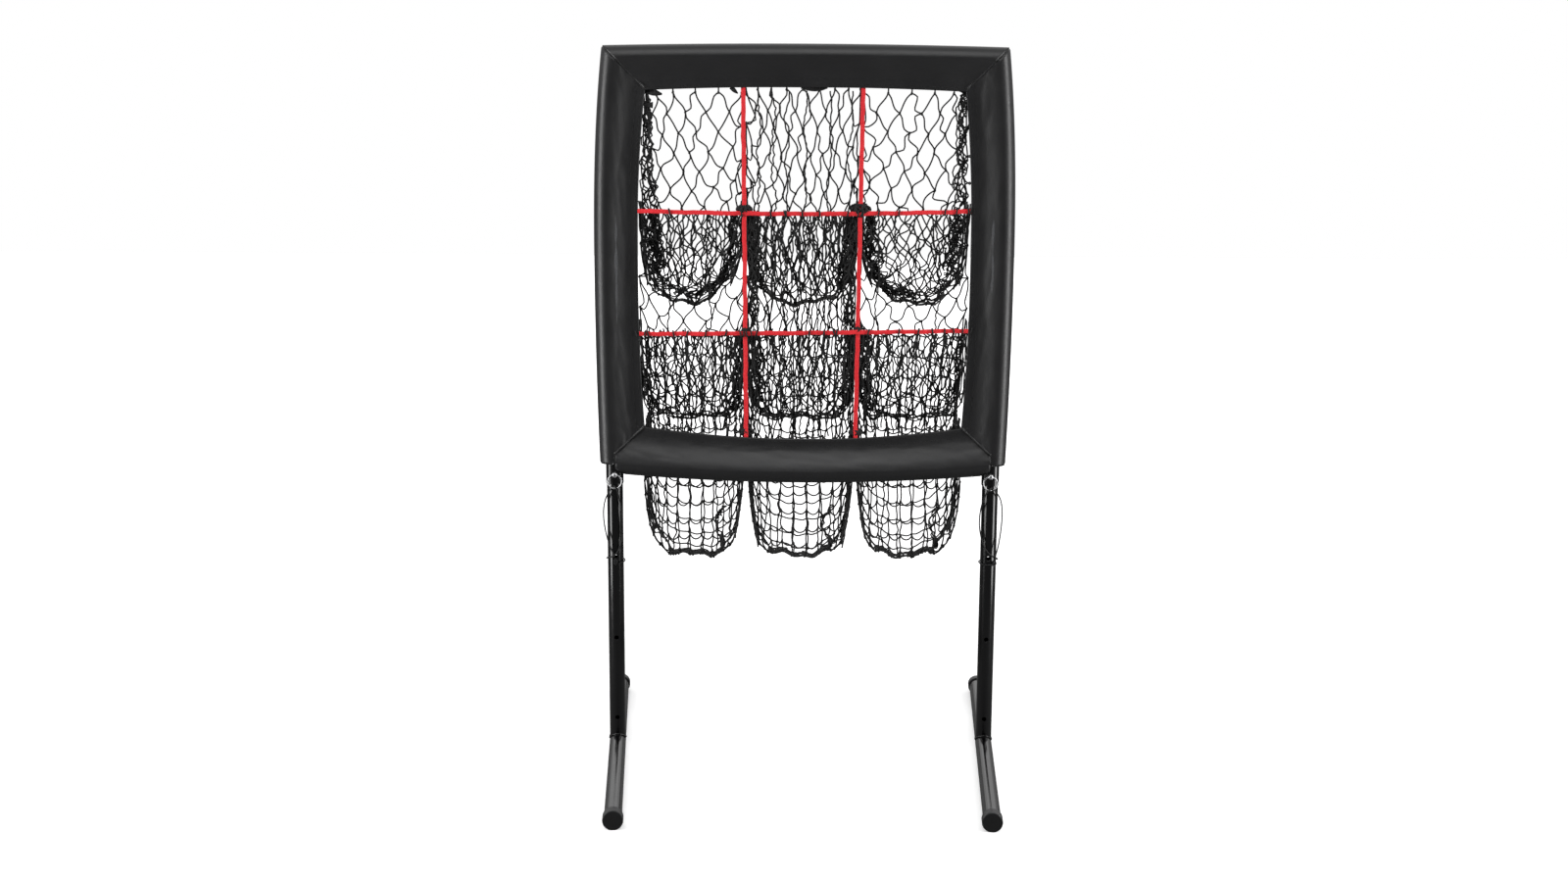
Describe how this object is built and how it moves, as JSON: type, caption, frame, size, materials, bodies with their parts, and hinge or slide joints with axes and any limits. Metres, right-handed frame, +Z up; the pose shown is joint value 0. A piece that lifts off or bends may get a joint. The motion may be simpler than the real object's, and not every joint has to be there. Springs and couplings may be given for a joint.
{
  "type": "baseball pitching net",
  "caption": "Free-standing pitching practice net: a padded frame with a webbing grid and net pockets behind its holes, on telescoping legs with pull pins and long foot tubes.",
  "frame": {"origin": "on the floor, in the middle of the footprint of the two feet", "axes": "+Z up; the front, where the ball comes from, faces -Y; +X is to the right for someone who looks at the front"},
  "size_m": [0.789, 0.7574, 1.3225],
  "materials": {
    "gloss_black_steel": "gloss",
    "black_elbow": "satin",
    "black_cap_plastic": "matte",
    "zinc_plated_steel": "polished",
    "black_vinyl_fabric": "satin",
    "grey_foam": "matte",
    "red_webbing": "woven",
    "black_net_cord": "matte",
    "black_lanyard_cord": "matte"
  },
  "bodies": {
    "base": {"left_foot_tube": "gloss_black_steel", "right_foot_tube": "gloss_black_steel", "left_front_foot_cap": "black_cap_plastic", "left_rear_foot_cap": "black_cap_plastic", "right_front_foot_cap": "black_cap_plastic", "right_rear_foot_cap": "black_cap_plastic", "left_leg": "gloss_black_steel", "right_leg": "gloss_black_steel"},
    "frame": {"left_upright": "gloss_black_steel", "right_upright": "gloss_black_steel", "left_corner_elbow": "black_elbow", "right_corner_elbow": "black_elbow", "left_tee_stub": "gloss_black_steel", "right_tee_stub": "gloss_black_steel", "top_rail": "gloss_black_steel", "bottom_rail": "gloss_black_steel", "left_padding": "grey_foam", "right_padding": "grey_foam", "top_padding": "grey_foam", "bottom_padding": "grey_foam", "left_sleeve": "black_vinyl_fabric", "right_sleeve": "black_vinyl_fabric", "top_sleeve": "black_vinyl_fabric", "bottom_sleeve": "black_vinyl_fabric", "left_strap": "red_webbing", "right_strap": "red_webbing", "upper_strap": "red_webbing", "lower_strap": "red_webbing", "top_left_pocket": "black_net_cord", "top_centre_pocket": "black_net_cord", "top_right_pocket": "black_net_cord", "middle_left_pocket": "black_net_cord", "middle_centre_pocket": "black_net_cord", "middle_right_pocket": "black_net_cord", "bottom_left_pocket": "black_net_cord", "bottom_centre_pocket": "black_net_cord", "bottom_right_pocket": "black_net_cord", "left_lanyard": "black_lanyard_cord", "right_lanyard": "black_lanyard_cord", "left_lanyard_knot": "black_lanyard_cord", "right_lanyard_knot": "black_lanyard_cord"},
    "left_pin_body": {"left_pin": "zinc_plated_steel"},
    "right_pin_body": {"right_pin": "zinc_plated_steel"},
    "left_ring_body": {"left_ring": "zinc_plated_steel"},
    "right_ring_body": {"right_ring": "zinc_plated_steel"}
  },
  "joints": [
    {"name": "height_slide", "type": "slide", "parent": "base", "child": "frame", "axis": [0, 0, 1], "range_m": [-0.4719, 0], "deforming": ["left_pin", "right_pin", "left_lanyard", "right_lanyard", "left_lanyard_knot", "right_lanyard_knot"]},
    {"name": "left_pin_slide", "type": "slide", "parent": "frame", "child": "left_pin_body", "axis": [0.0732, -0.9973, 0], "range_m": [0, 0.06], "deforming": ["left_lanyard"]},
    {"name": "right_pin_slide", "type": "slide", "parent": "frame", "child": "right_pin_body", "axis": [-0.0732, -0.9973, 0], "range_m": [0, 0.06], "deforming": ["right_lanyard"]},
    {"name": "left_ring_swing", "type": "hinge", "parent": "left_pin_body", "child": "left_ring_body", "pos_m": [-0.34885, -0.001, 0.5387], "axis": [-0.9973, -0.0732, 0], "range_deg": [0, 150], "deforming": ["left_lanyard"]},
    {"name": "right_ring_swing", "type": "hinge", "parent": "right_pin_body", "child": "right_ring_body", "pos_m": [0.34885, -0.001, 0.5387], "axis": [-0.9973, 0.0732, 0], "range_deg": [0, 150], "deforming": ["right_lanyard"]}
  ]
}
